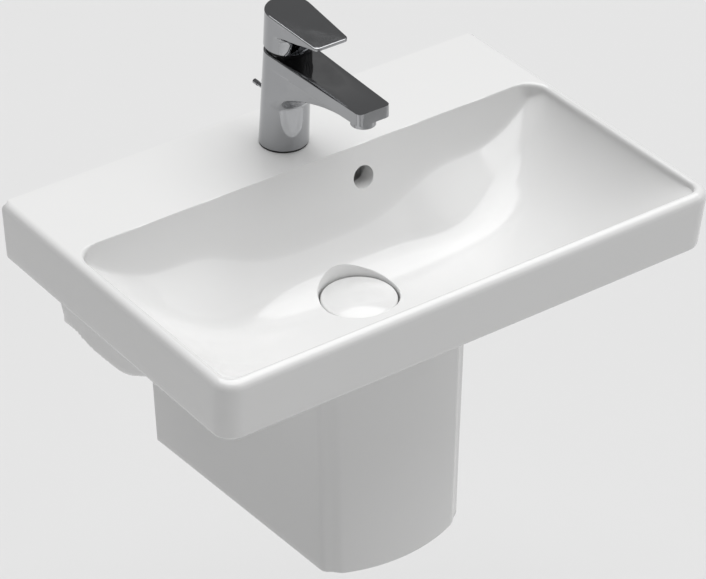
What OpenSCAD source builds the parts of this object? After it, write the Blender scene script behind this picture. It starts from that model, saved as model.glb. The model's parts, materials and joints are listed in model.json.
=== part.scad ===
// Wall-hung washbasin with a half pedestal, single-lever tap, pop-up waste, bottle trap and stop valves.
// The origin is midway between the two wall-bolt holes, on the wall plane. +X runs along the wall to
// the right, the front of the basin faces -Y, and +Z is up. Millimetres.

/* [Basin] */
// Overall width of the basin
basin_w = 550; // [450:1:660]
// Depth from the wall to the front of the rim
basin_d = 370; // [350:1:450]
// Height of the basin from its lowest edge to its rim
basin_h = 165; // [158:1:198]
// Height of the band round the rim
band_h = 63.5; // [53:0.5:76.5]
// Depth of the flat deck behind the bowl
deck_d = 110; // [100:1:118]
// Width of the rim beside the bowl
lip_side = 11.5; // [9:0.5:20]
// Width of the rim in front of the bowl
lip_front = 11; // [9:0.5:20]
// Depth of the bowl at the waste
bowl_depth = 113; // [104:1:116]
// Thickness of the ceramic
shell_t = 12; // [10:0.5:14]
// Height of the rim above the wall bolts
bolt_drop = 95; // [80:1:115]
// Distance between the two wall bolts
bolt_spacing = 280; // [233:1:336]
// Diameter of each wall-bolt hole
bolt_hole_d = 16; // [12:0.5:20]
// Diameter of the overflow hole
overflow_d = 23; // [18:0.5:25]
// Distance of the overflow hole from the middle of the bowl
overflow_x = 54; // [48:1:64]

/* [Half pedestal] */
// Half-width of the pedestal where it meets the wall, at the basin
ped_wall_x = 123; // [110:1:148]
// Half-width of the pedestal at its front corners, at the basin
ped_front_x = 88; // [80:1:100]
// Distance from the wall to the pedestal's front corners
ped_corner_y = 242; // [235:1:260]
// Height of the pedestal's lowest wall corner below the rim
ped_drop = 342; // [335:1:410]
// Thickness of the pedestal's wall
ped_t = 10; // [8:0.5:13]

/* [Tap] */
// Distance from the wall to the tap's centre
tap_setback = 62; // [55:0.5:66]
// Diameter of the hole in the deck
tap_hole_d = 35; // [35:0.5:38]
// Diameter of the tap's foot
tap_foot_d = 48.6; // [46:0.2:56]
// Diameter of the top of the tap's column
tap_top_d = 45.2; // [44.6:0.2:48]
// Height of the tap's column along its leaning axis
column_h = 106; // [102:1:126]
// Forward lean of the column
tap_lean = 4.4; // [0:0.1:6]
// Reach of the spout from the tap's centre to its tip
spout_reach = 146.7; // [123:0.1:176]
// Length of the lever from the column's axis to its tip
lever_reach = 69.4; // [60:0.1:83]
// Diameter of the lever's skirt
skirt_d = 46; // [46:0.2:52]
// Outer diameter of the aerator
aerator_d = 23.8; // [22.4:0.1:26]

/* [Waste] */
// Distance from the wall to the waste
waste_setback = 184.5; // [176:0.5:190]
// Diameter of the drain cover
cover_d = 74; // [68:0.5:80]
// Gap round the drain cover
cover_gap = 1.7; // [1:0.1:3]
// Outer diameter of the waste pipe and of the outlet pipe
pipe_d = 32; // [31:0.5:33]
// Travel of the drain cover
cover_travel = 6; // [5:0.1:7.2]

/* [Supply and outlet] */
// Height of the outlet pipe below the rim
outlet_drop = 285; // [280:1:300]
// Distance of the outlet pipe's end behind the wall plane
outlet_tail = 40; // [30:1:48]
// Distance of each stop valve from the middle
valve_x = 70; // [66:1:74]
// Height of the stop valves below the rim
valve_drop = 262; // [258:1:270]
// Diameter of the supply tubes
tail_d = 10; // [8:0.5:10]

/* [Hidden] */
$fn = 48;
HULL_FN = 32;    // sides of the round pieces inside a hull
eps = 1;         // how far a cut runs past a face
seat_gap = 0.3;  // clearance round pieces that only stand beside each other
fit_gap = 0.05;  // radial clearance of a running or screwed fit
half_w = basin_w / 2;
rim_z = bolt_drop;

// Basin
side_taper = 2.3;        // how far the band's foot stands in at each side
front_taper = 6;         // and at the front
corner_r = 20;           // outer front corners, in plan
edge_r = 8;              // rounding of the outer top edge
edge_rise = 2.3;         // mid-height of that rounding
lip_depth = 4;           // where the rounded lip ends and the bowl begins
bowl_back_r = 22;        // corners of the bowl in plan
bowl_front_r = 12;
wall_lean = 12;          // lean of the bowl's back wall
bowl_half = half_w - lip_side;
fold_depth = bowl_depth - 9;
fold_y = waste_setback - 36;
fold_slope = 1.187;      // slope of the band between the back wall and the fold
front_rise = 5;          // how much higher the floor is where its front rise begins
front_round = 119;       // length of the rounded rise below the front lip
front_p = 1.7;           // power of its curve
hammock_p = 3.2;         // powers of the curve across the bowl
hammock_q = 0.8;
deck_t = 14;
wall_plate_t = 20;
under_top_x = half_w - 46;      // half-widths of the box below the band
under_low_x = half_w - 73;
under_r = 15;
under_front = basin_d - 40;     // where that box starts at the front, below the band
under_mid_y = 120;              // how far forward its lowest edge runs
under_nose_r = 28;              // rounded nose under the front of the bowl
under_nose_x = 92;
under_nose_y = ped_corner_y;
under_nose_z = -bowl_depth - 10 + under_nose_r;
recess_r = cover_d / 2 + cover_gap;
recess_depth = bowl_depth + 14;
boss_r = 42;
boss_z = -recess_depth - 31;
waste_hole_r = 23;
duct_w = 28;
duct_t = 10;
duct_wall = 8;
duct_y = deck_d - 8;            // front face of the vertical overflow duct
duct_z = -recess_depth - 10;
overflow_z = -33;
bowl_top = 20;                  // how far the bowl's cut runs above the rim

// Half pedestal
ped_corner_r = 9;
ped_bulge = 19;
ped_narrow_wall = 7;     // how much narrower the foot is than the top
ped_narrow_front = 6;
ped_foot_slope = 0.132;
ped_joint = 0.5;         // joint between the pedestal and the basin
ear_w = 24;
ear_h = 30;
ear_t = 14;
ear_x = ped_wall_x - ped_narrow_wall - ped_t - 12;
ear_hole_r = 5;
ear_z = -ped_drop + 22;

// Tap
foot_r = tap_foot_d / 2;
top_r = tap_top_d / 2;
gasket_t = 1.5;
chamber_r = 18;
chamber_z = column_h - 40;
pivot_z = column_h - 12;
spout_w = 18;            // half-width of the spout at its tip
spout_root_w = 20.5;     // and at the column
spout_z = 104.4;         // top of the tip above the deck
spout_tip_t = 13;
aerator_r = aerator_d / 2;
aerator_y = spout_reach - 18.1;
aerator_bore_r = aerator_r - 0.9;
aerator_bottom = 81.5;
stud_r = 3;
stud_y = -13.5;
tail_r = tail_d / 2;
tail_x = 9;
tail_top = 14;
socket_top = 22;
lift_r = 2.5;
lift_y = 14;             // lift rod behind the tap's centre
knob_z = 42.7;
lever_z = column_h + 4;  // underside of the skirt
lever_top = column_h + 42;
skirt_r = skirt_d / 2;
skirt_t = 2.7;
lever_tip_x = 19;
lever_tip_t = 3;
lever_tip_r = 4;
stem_w = 8;
stem_d = 7;
stem_top = column_h + 30;

// Waste
pipe_r = pipe_d / 2;
ball_z = -recess_depth - 69;
inner_arm = 24;
ball_y = -waste_setback + inner_arm;
lift_line = -tap_setback + lift_y;
outer_arm = lift_line - ball_y;
rod_swing = cover_travel / inner_arm * 180 / PI;
rod_tilt = rod_swing / 2;
lift_travel = outer_arm * cover_travel / inner_arm;
rod_r = 2.5;
ball_r = 8;
flange_r = 31.5;
flange_t = 2.5;
gasket_top_t = 2;
body_r = 20.95;
body_end = ball_z + 16;
cover_low = -bowl_depth - 5;
stem_r = 4;
strap_w = 12;
strap_t = 1.5;
strap_y = lift_line + 2.8;
strap_hole_z = ball_z + outer_arm * sin(rod_tilt);
strap_top = -143;
clip_x = strap_w / 2 + 2.2;
clevis_h = 12;

// Trap
tail_end = -outlet_drop + 33;
trap_neck_r = 20.5;
trap_neck_top = tail_end + 12;
trap_r = 30;
trap_bore_r = 26.5;
trap_top = tail_end - 10;
cup_rim = -outlet_drop - 28;
cup_bottom = -outlet_drop - 66;
branch_end = -waste_setback + 43;
nut_r = 26;

spigot_len = 38;         // full-diameter end of the outlet pipe, which goes into the wall

// Stop valves
valve_y = -34;
valve_seat = -valve_drop;
thread_r = 10.48;
thread_len = 12;
valve_r = 12;
bend_r = 40;
bend_a = 35;
tail_swell = 0.25;       // how much thicker a bend is than the straight tube
tail_lap = 2;            // how far a straight tube runs into a bend
tail_bend_z = -60;

// ---------------------------------------------------------------- frames and helpers
module at_rim() { translate([0, 0, rim_z]) children(); }
module at_tap() { translate([0, -tap_setback, rim_z]) children(); }
module at_column() { at_tap() rotate([tap_lean, 0, 0]) children(); }
module at_waste() { translate([0, -waste_setback, rim_z]) children(); }
module at_valve(side) { translate([side * valve_x, 0, rim_z - valve_drop]) children(); }
module mirror_pair() { children(); mirror([1, 0, 0]) children(); }

// Round bar along Y from y0 back to y1
module bar_y(r, y0, y1) { translate([0, y1, 0]) rotate([90, 0, 0]) cylinder(h = y1 - y0, r = r); }
// Round bar along X from x0 to x1
module bar_x(r, x0, x1) { translate([x0, 0, 0]) rotate([0, 90, 0]) cylinder(h = x1 - x0, r = r); }
// Round bar along Z from z0 up to z1
module bar_z(r, z0, z1) { translate([0, 0, z0]) cylinder(h = z1 - z0, r = r); }
module ring_z(r, bore, z0, z1) {
  difference() {
    bar_z(r, z0, z1);
    bar_z(bore, z0 - eps, z1 + eps);
  }
}
module ring_y(r, bore, y0, y1) {
  difference() {
    bar_y(r, y0, y1);
    bar_y(bore, y0 - eps, y1 + eps);
  }
}
module box(x0, x1, y0, y1, z0, z1) { translate([x0, y0, z0]) cube([x1 - x0, y1 - y0, z1 - z0]); }
// Rectangle in plan with rounded corners, from y_front to y_back
module plan(x, y_front, y_back, r_front, r_back) {
  translate([-x + r_front, y_front]) square([2 * (x - r_front), y_back - y_front]);
  translate([-x, y_front + r_front]) square([2 * x, y_back - y_front - r_front - r_back]);
  translate([-x + r_back, y_back - r_back]) square([2 * (x - r_back), r_back]);
  for (side = [-1, 1]) {
    translate([side * (x - r_front), y_front + r_front]) circle(r = r_front);
    translate([side * (x - r_back), y_back - r_back]) circle(r = r_back);
  }
}

// ---------------------------------------------------------------- bowl
CROSS = 20;       // steps across the bowl
side_over = 1.5;  // how far its curve runs past the straight side of the bowl
FRONT_STEPS = 7;  // steps round the front
function hammock(x, a) = pow(max(0, 1 - pow(min(1, abs(x) / a), hammock_p)), hammock_q);
// Depth along the bowl's centre line at a distance y from the wall
floor_y = [deck_d - 1, fold_y, waste_setback];
floor_depth = [fold_depth - (fold_y - deck_d + 1) * fold_slope, fold_depth, bowl_depth];
front_y = basin_d - lip_front - front_round;
front_depth = bowl_depth - front_rise;
front_arc = [for (i = [0:FRONT_STEPS]) i * 90 / FRONT_STEPS];
station_y = concat(floor_y, [for (a = front_arc) front_y + front_round * pow(sin(a), 2 / front_p)]);
station_depth = concat(
  floor_depth, [for (a = front_arc) lip_depth + (front_depth - lip_depth) * pow(max(0, cos(a)), 2 / front_p)]
);
// One cross-section: the floor from left to right, then the two corners above the rim
function section(depth, a, grow) = concat(
  [for (i = [0:CROSS]) let (x = a * sin(-90 + 180 * i / CROSS))
    [x, -lip_depth - (depth + grow - lip_depth) * hammock(x, a)]],
  [[a, bowl_top], [-a, bowl_top]]
);
module hammock_solid(grow) {
  a = bowl_half + grow + side_over;
  last = len(station_y) - 1;
  hull() for (j = [0:last]) {
    y = station_y[j] + (j == 0 ? -2 * grow : (j > 4 ? grow : 0));
    translate([0, -y, 0]) rotate([90, 0, 0]) linear_extrude(height = 0.05)
      polygon(section(station_depth[j], a, grow));
  }
}
// The space inside the bowl, or with grow the outside of its shell
module bowl_space(grow = 0) {
  at_rim() intersection() {
    hammock_solid(grow);
    translate([0, -deck_d + grow, 0]) rotate([-wall_lean, 0, 0])
      box(-basin_w, basin_w, -2 * basin_d, 0, -2 * basin_d, basin_d);
    translate([0, 0, -2 * basin_h]) linear_extrude(height = 3 * basin_h)
      plan(bowl_half + grow, -basin_d + lip_front - grow, -deck_d + grow,
           bowl_front_r + grow, bowl_back_r + grow);
  }
}

// ---------------------------------------------------------------- basin
// One level of the band, set in from the outer faces
module band_level(z, side_in, front_in) {
  x = half_w - side_in;
  y = basin_d - front_in;
  translate([0, 0, z]) {
    box(-x, x, -1, 0, 0, 0.1);
    for (side = [-1, 1]) translate([side * (x - corner_r), -y + corner_r, 0])
      cylinder(h = 0.1, r = corner_r, $fn = HULL_FN);
  }
}
module band() {
  at_rim() hull() {
    band_level(-band_h, side_taper, front_taper);
    band_level(-edge_r, 0, 0);
    band_level(-edge_rise - 0.1, edge_rise, edge_rise);
    band_level(-0.1, edge_r, edge_r);
  }
}
// Box-shaped body below the band; inset gives the hollow inside its shell
module under_body(inset, back) {
  low = -basin_h + under_r - inset * 0.7;
  r = under_r - inset / 2;
  at_rim() hull() {
    for (side = [-1, 1]) {
      translate([side * (under_top_x - inset - 25), -under_front + inset + 25, -band_h])
        cylinder(h = 2, r = 25, $fn = HULL_FN);
      translate([side * (under_low_x - inset / 2), -back, low])
        rotate([90, 0, 0]) cylinder(h = 1, r = r, $fn = HULL_FN);
      translate([side * (under_low_x - 9 - inset / 2), -under_mid_y, low])
        rotate([90, 0, 0]) cylinder(h = 1, r = r, $fn = HULL_FN);
      translate([side * under_nose_x, -under_nose_y, under_nose_z])
        sphere(r = under_nose_r - inset, $fn = HULL_FN);
    }
    box(-under_top_x + inset, under_top_x - inset, -back - 1, -back, -band_h, -band_h + 2);
  }
}
module waste_boss() { at_waste() bar_z(boss_r, boss_z, -bowl_depth); }
// Solid ceramic round the two legs of the overflow duct
module duct_block() {
  at_rim() {
    box(overflow_x - duct_w / 2 - duct_wall, overflow_x + duct_w / 2 + duct_wall,
        -duct_y - 40, -duct_y + duct_t + duct_wall, duct_z - duct_wall - 5, -deck_t);
    duct_leg(duct_wall + 5);
  }
}
// Lower leg of the duct, from the vertical leg to the waste hole
module duct_leg(r) {
  run = [-overflow_x, -waste_setback + duct_y - duct_t / 2];
  translate([overflow_x, -duct_y + duct_t / 2, duct_z]) rotate([0, 90, atan2(run[1], run[0])])
    translate([-r, -r, 0]) cube([2 * r, 2 * r, norm(run) - waste_hole_r + 6]);
}
module pedestal_ribs() {
  angle = atan((ped_wall_x - ped_front_x) / ped_corner_y);
  at_rim() mirror_pair() translate([ped_wall_x - ped_t, 0, -basin_h]) rotate([0, 0, -angle])
    box(0, ped_t, -ped_corner_y + 12, -wall_plate_t + 2, 0, basin_h - deck_t);
}
module under_hollow() {
  difference() {
    union() {
      under_body(shell_t, wall_plate_t);
      at_rim() box(-under_low_x + shell_t, under_low_x - shell_t, -deck_d, -wall_plate_t,
                   -band_h - eps, -deck_t);
    }
    bowl_space(shell_t);
    waste_boss();
    duct_block();
    pedestal_ribs();
  }
}
module basin() {
  color("white") difference() {
    union() {
      band();
      under_body(0, 0);
      waste_boss();
      intersection() {
        bowl_space(shell_t);
        at_rim() box(-half_w, half_w, -basin_d + 2, 0, -basin_h, -lip_depth - 2);
      }
    }
    bowl_space();
    under_hollow();
    at_waste() bar_z(recess_r, -recess_depth, -bowl_depth + 12);
    at_waste() bar_z(waste_hole_r, boss_z - eps, -recess_depth + eps);
    at_tap() bar_z(tap_hole_d / 2, -deck_t - eps, eps);
    translate([overflow_x, 0, rim_z + overflow_z]) bar_y(overflow_d / 2, -deck_d - 20, -duct_y + 4);
    at_rim() box(overflow_x - duct_w / 2, overflow_x + duct_w / 2, -duct_y, -duct_y + duct_t,
                 duct_z - 6, overflow_z + overflow_d / 2);
    at_rim() duct_leg(6);
    mirror_pair() translate([bolt_spacing / 2, 0, 0]) bar_y(bolt_hole_d / 2, -wall_plate_t - eps, eps);
  }
}

// ---------------------------------------------------------------- half pedestal
// Outline in plan: straight sides and a shallow arc across the front
module ped_outline(wall_x, front_x, inset) {
  wx = wall_x - inset;
  fx = front_x - inset;
  cy = ped_corner_y - inset;
  arc_r = (fx * fx + ped_bulge * ped_bulge) / (2 * ped_bulge);
  arc_a = asin(fx / arc_r);
  sweep = [for (i = [1:9]) -arc_a + 2 * arc_a * i / 10];
  turn = [0:30:90];
  r = ped_corner_r;
  left = [for (t = turn) [-fx + r - r * cos(t), -cy + r - r * sin(t)]];
  right = [for (t = turn) [fx - r + r * sin(t), -cy + r - r * cos(t)]];
  front = [for (a = sweep) [arc_r * sin(a), -cy - ped_bulge + arc_r * (1 - cos(a))]];
  polygon(concat([[wx, 0], [-wx, 0]], left, front, right));
}
module ped_solid(inset) {
  at_rim() hull() {
    translate([0, 0, -100]) linear_extrude(height = 0.1) ped_outline(ped_wall_x + 2, ped_front_x + 2, inset);
    translate([0, 0, -ped_drop - 60]) linear_extrude(height = 0.1)
      ped_outline(ped_wall_x - ped_narrow_wall - 2, ped_front_x - ped_narrow_front - 1, inset);
  }
}
module half_pedestal() {
  foot_angle = atan(ped_foot_slope);
  color("whitesmoke") difference() {
    ped_solid(0);
    difference() {
      ped_solid(ped_t);
      mirror_pair() at_rim() box(ear_x - ear_w / 2, ped_wall_x, -ear_t, eps,
                                 ear_z - ear_h / 2, ear_z + ear_h / 2);
    }
    at_rim() mirror_pair() translate([ear_x, 0, ear_z]) bar_y(ear_hole_r, -ear_t - eps, eps);
    at_rim() translate([0, 0, -ped_drop]) rotate([foot_angle, 0, 0])
      box(-basin_w, basin_w, -basin_d * 2, basin_d, -basin_d, 0);
    translate([0, 0, -ped_joint]) under_body(0, 0);
    bowl_space(shell_t + ped_joint);
  }
}

// ---------------------------------------------------------------- tap
// Cross-section of the spout at a distance y in front of the tap's centre
module spout_station(y, w, low, high, round_r) {
  translate([0, -y, 0]) rotate([90, 0, 0]) {
    for (side = [-1, 1]) translate([side * (w - round_r), low + round_r, 0])
      cylinder(h = 0.5, r = round_r, $fn = HULL_FN);
    translate([-w, high - 2, 0]) cube([2 * w, 2, 0.5]);
  }
}
function spout_top(y) = spout_z + 1.5 * (1 - y / spout_reach);
module spout() {
  // distance in front of the centre, half-width, height of the underside, rounding
  stations = [
    [6, spout_root_w, 44, 8],
    [36, spout_root_w - 0.6, 64, 8],
    [72, spout_w + 1, 80, 7],
    [spout_reach - 8, spout_w, spout_z - spout_tip_t, 5]
  ];
  at_tap() {
    for (i = [0:2]) hull() for (s = [stations[i], stations[i + 1]])
      spout_station(s[0], s[1], s[2], spout_top(s[0]), s[3]);
    hull() {
      spout_station(stations[3][0], stations[3][1], stations[3][2], spout_top(stations[3][0]), 5);
      for (side = [-1, 1]) translate([side * (spout_w - 4), -spout_reach + 4, spout_z - spout_tip_t])
        cylinder(h = spout_tip_t, r = 4, $fn = HULL_FN);
    }
  }
}
module column() {
  hull() {
    at_tap() translate([0, 0, gasket_t]) cylinder(h = 0.5, r = foot_r, $fn = 48);
    at_column() translate([0, 0, column_h - 0.5]) cylinder(h = 0.5, r = top_r, $fn = 48);
  }
}
module tap_body() {
  color("silver") difference() {
    union() {
      column();
      spout();
    }
    at_column() bar_z(chamber_r, chamber_z, column_h + 3);
    at_column() bar_z(skirt_r + 0.6, column_h, column_h + 12);
    at_tap() {
      translate([0, -aerator_y, 0]) bar_z(aerator_r + fit_gap, aerator_bottom, aerator_z);
      for (side = [-1, 1]) translate([side * tail_x, 0, 0]) {
        bar_z(tail_r + fit_gap, 0, socket_top);
        translate([0, -1.6, socket_top - 2]) rotate([tap_lean, 0, 0])
          cylinder(h = chamber_z - socket_top + 3, r = 3);
      }
      translate([0, stud_y, 0]) bar_z(stud_r + fit_gap, 0, 24);
      translate([0, lift_y, 0]) bar_z(lift_r + fit_gap * 2, 0, knob_z + 6);
      box(-lift_r - seat_gap, lift_r + seat_gap, lift_y, foot_r + 5,
          knob_z - lift_travel - lift_r - 1, knob_z + lift_r + 1);
      translate([0, 0, spout_z - 6.9]) bar_y(4.5, -aerator_y, -chamber_r + 2);
      translate([0, -aerator_y, 0]) bar_z(aerator_bore_r, spout_z - spout_tip_t - 15, spout_z - 3.4);
    }
  }
}
module tap_gasket() { color("dimgray") at_tap() ring_z(foot_r - 0.6, tap_hole_d / 2, 0, gasket_t); }
module gap_ring() { color("black") at_column() ring_z(skirt_r - skirt_t - 0.5, 14.5, column_h, lever_z - 0.3); }

// ---------------------------------------------------------------- cartridge and lever
cart_r = chamber_r - 0.1;
nut_z = column_h - 14;
disc_z = chamber_z + 2;
disc_t = 3.9;
rotor_z = chamber_z + 10;
flange_z = chamber_z + 16;
module cartridge_body() {
  color("gainsboro") at_column() difference() {
    bar_z(cart_r, chamber_z, nut_z);
    bar_z(15.5, disc_z, rotor_z);
    bar_z(14.6, rotor_z - eps, flange_z + fit_gap);
    bar_z(12.4 + fit_gap, flange_z, nut_z + eps);
    for (a = [0:120:240]) rotate([0, 0, a]) translate([0, -tail_x, 0]) bar_z(3, chamber_z - eps, disc_z + eps);
  }
}
module disc_lower() {
  color("whitesmoke") at_column() difference() {
    bar_z(15.4, disc_z, disc_z + disc_t);
    for (a = [0:120:240]) rotate([0, 0, a]) translate([0, -tail_x, 0])
      bar_z(3, disc_z - eps, disc_z + disc_t + eps);
  }
}
collar_z = disc_z + 2 * disc_t + 0.2;
module disc_upper() {
  color("white") at_column() {
    bar_z(9.5, disc_z + disc_t + 0.1, collar_z);
    difference() {
      box(-5.8, 5.8, -6.3, 6.3, collar_z, collar_z + 5);
      box(-stem_w / 2 - 0.3, stem_w / 2 + 0.3, -4.8, 4.8, collar_z + 0.4, collar_z + 5 + eps);
    }
  }
}
module cartridge_rotor() {
  color("orange") at_column() difference() {
    union() {
      bar_z(14.5, rotor_z + 0.1, flange_z);
      bar_z(12.4, flange_z, column_h - 7);
    }
    box(-6.1, 6.1, -11.8, 6.8, rotor_z, flange_z + 0.1);
    box(-stem_w / 2 - 0.2, stem_w / 2 + 0.2, -9, 9, rotor_z, column_h);
    translate([0, 0, pivot_z]) bar_x(2 + fit_gap, -13, 13);
  }
}
module pivot_pin() { color("silver") at_column() translate([0, 0, pivot_z]) bar_x(2, -11.5, 11.5); }
module cartridge_stem() {
  color("silver") at_column() difference() {
    box(-stem_w / 2, stem_w / 2, -stem_d / 2, stem_d / 2, collar_z + 2.4, stem_top);
    translate([0, 0, pivot_z]) bar_x(2 + fit_gap, -stem_w, stem_w);
  }
}
module cartridge_nut() {
  color("goldenrod") at_column() difference() {
    bar_z(cart_r, nut_z, column_h - 2);
    bar_z(13.5, nut_z - eps, column_h);
    for (a = [0:60:300]) rotate([0, 0, a + 30]) box(13, 20, -2, 2, column_h - 5, column_h);
  }
}
module lever_plate() {
  hull() {
    translate([0, 0, lever_top - 20]) cylinder(h = 19.5, r = skirt_r, $fn = 48);
    for (side = [-1, 1]) translate([side * (lever_tip_x - lever_tip_r), -lever_reach + lever_tip_r,
                                    lever_top - lever_tip_t]) cylinder(h = lever_tip_t, r = lever_tip_r, $fn = HULL_FN);
  }
}
socket_z = column_h + 22;
screw_z = column_h + 26;
module lever_handle() {
  color("silver") at_column() difference() {
    union() {
      bar_z(skirt_r, lever_z, lever_top - 15);
      lever_plate();
    }
    bar_z(skirt_r - skirt_t, lever_z - eps, socket_z);
    box(-stem_w / 2 - fit_gap, stem_w / 2 + fit_gap, -stem_d / 2 - fit_gap, stem_d / 2 + fit_gap,
        socket_z - eps, stem_top + 0.2);
    translate([0, 0, screw_z]) {
      bar_y(2.5 + fit_gap, 0, skirt_r + eps);
      bar_y(3.6, skirt_r - 3, skirt_r + eps);
    }
  }
}
module grub_screw() {
  color("dimgray") at_column() translate([0, 0, screw_z]) difference() {
    bar_y(2.5, stem_d / 2 + 0.1, stem_d / 2 + 9);
    translate([0, stem_d / 2 + 10, 0]) rotate([90, 0, 0]) cylinder(h = 4, r = 1.44, $fn = 6);
  }
}
module screw_cover() {
  color("silver") at_column() translate([0, 0, screw_z]) bar_y(3.55, skirt_r - 2.9, skirt_r - 0.4);
}

// ---------------------------------------------------------------- aerator
aerator_z = spout_z - spout_tip_t;
module at_aerator() { at_tap() translate([0, -aerator_y, 0]) children(); }
module aerator_housing() {
  color("silver") at_aerator() difference() {
    union() {
      bar_z(aerator_r, aerator_bottom, aerator_z);
      bar_z(aerator_bore_r - fit_gap, aerator_z, aerator_z + 7.5);
    }
    bar_z(aerator_r - 2.4, aerator_bottom - eps, aerator_z + 8);
  }
}
module aerator_insert() {
  color("lightgray") at_aerator() difference() {
    bar_z(aerator_r - 2.45, aerator_bottom + 1, aerator_z + 6);
    for (i = [-2:2]) for (j = [-2:2]) if (abs(i) + abs(j) < 4)
      translate([i * 3.3, j * 3.3, 0]) bar_z(1.2, aerator_bottom, aerator_z + 7);
  }
}
module aerator_seal() {
  color("black") at_aerator() ring_z(aerator_bore_r - fit_gap, 6.5, aerator_z + 7.5, aerator_z + 9.5);
}

// ---------------------------------------------------------------- tap fixing, supply and lift rod
module tap_stud() {
  color("goldenrod") at_tap() translate([0, stud_y, 0]) bar_z(stud_r, -deck_t - 34, 23);
}
// Horseshoe that leaves room behind the stud for the tails and the lift rod
module horseshoe(r, z0, z1) {
  at_tap() difference() {
    bar_z(r, z0, z1);
    box(-tail_x - tail_r - 1.5, tail_x + tail_r + 1.5, -tail_r - 1.5, r + eps, z0 - eps, z1 + eps);
    translate([0, stud_y, 0]) bar_z(stud_r + 0.3, z0 - eps, z1 + eps);
  }
}
module clamp_seal() { color("black") horseshoe(22, -deck_t - 3, -deck_t); }
module clamp_plate() { color("silver") horseshoe(22, -deck_t - 5, -deck_t - 3); }
module clamp_nut() {
  color("goldenrod") at_tap() translate([0, stud_y, -deck_t - 13]) difference() {
    cylinder(h = 8, r = 5.8, $fn = 6);
    bar_z(stud_r + fit_gap, -eps, 9);
  }
}
// Supply tube: straight down, two bends, and straight down into the stop valve
module tail(side) {
  shift = [valve_x - tail_x, valve_y + tap_setback];
  run = (norm(shift) - 2 * bend_r * (1 - cos(bend_a))) / sin(bend_a);
  low_z = tail_bend_z - 2 * bend_r * sin(bend_a) - run * cos(bend_a);
  heading = side > 0 ? atan2(shift[1], shift[0]) : 180 - atan2(shift[1], shift[0]);
  at_tap() translate([side * tail_x, 0, 0]) rotate([0, 0, heading]) {
    difference() {
      union() {
        bar_z(tail_r, tail_bend_z - tail_lap, tail_top);
        translate([bend_r, 0, tail_bend_z]) rotate([90, 0, 0]) rotate([0, 0, 180])
          rotate_extrude(angle = bend_a) translate([bend_r, 0]) circle(r = tail_r + tail_swell);
        translate([bend_r * (1 - cos(bend_a)), 0, tail_bend_z - bend_r * sin(bend_a)])
          rotate([0, 180 - bend_a, 0]) bar_z(tail_r, -tail_lap, run + tail_lap);
        translate([norm(shift) - bend_r, 0, low_z]) rotate([90, 0, 0])
          rotate_extrude(angle = bend_a) translate([bend_r, 0]) circle(r = tail_r + tail_swell);
        translate([norm(shift), 0, 0]) bar_z(tail_r, valve_seat + 16, low_z + tail_lap);
      }
      bar_z(tail_r - 1.5, tail_top - 8, tail_top + eps);
    }
  }
}
module tail_hot() { color("silver") tail(-1); }
module tail_cold() { color("silver") tail(1); }
module lift_rod() {
  color("silver") at_tap() translate([0, lift_y, 0]) difference() {
    bar_z(lift_r, strap_top - clevis_h - 2, knob_z + lift_r);
    translate([0, 0, knob_z]) bar_y(1.5 + fit_gap, 0, lift_r + eps);
  }
}
module lift_knob() {
  color("silver") at_tap() translate([0, lift_y, knob_z]) {
    bar_y(1.5, 0.2, lift_r + 4);
    bar_y(2, lift_r + 0.1, 27.5);
    bar_y(2.5, 27.5, 34);
  }
}

// ---------------------------------------------------------------- pop-up linkage
module strap() {
  holes = [for (i = [0:5]) strap_hole_z - 24 + 12 * i];
  color("silver") at_rim() difference() {
    union() {
      box(-strap_w / 2, strap_w / 2, strap_y, strap_y + strap_t, strap_hole_z - 32, strap_top);
      box(-strap_w / 2, strap_w / 2, lift_line - 4.4, strap_y, strap_top - clevis_h, strap_top);
    }
    translate([0, lift_line, 0]) bar_z(lift_r + fit_gap, strap_top - clevis_h - eps, strap_top + eps);
    for (z = holes) if (z < strap_top - clevis_h - 4)
      translate([0, 0, z]) bar_y(3.3, strap_y - eps, strap_y + strap_t + eps);
    translate([0, lift_line, strap_top - clevis_h / 2]) bar_x(2 + fit_gap, 0, strap_w / 2 + eps);
  }
}
module strap_screw() {
  color("silver") at_rim() translate([0, lift_line, strap_top - clevis_h / 2]) {
    bar_x(2, lift_r + 0.1, strap_w / 2 + 1);
    bar_x(5, strap_w / 2 + 1, strap_w / 2 + 5);
  }
}
module at_ball() { translate([0, ball_y, rim_z + ball_z]) rotate([rod_tilt, 0, 0]) children(); }
module ball_rod() {
  color("silver") at_ball() {
    sphere(r = ball_r);
    bar_y(rod_r, -inner_arm - 5, outer_arm + 14);
  }
}
module spring_clip() {
  color("silver") at_ball() difference() {
    union() {
      box(-4, clip_x, outer_arm - 2, outer_arm - 1, -4, 4);
      box(-4, clip_x, outer_arm + 7.5, outer_arm + 8.5, -4, 4);
      box(clip_x - 1, clip_x, outer_arm - 2, outer_arm + 8.5, -4, 4);
    }
    bar_y(rod_r + fit_gap, outer_arm - 4, outer_arm + 11);
  }
}

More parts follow.
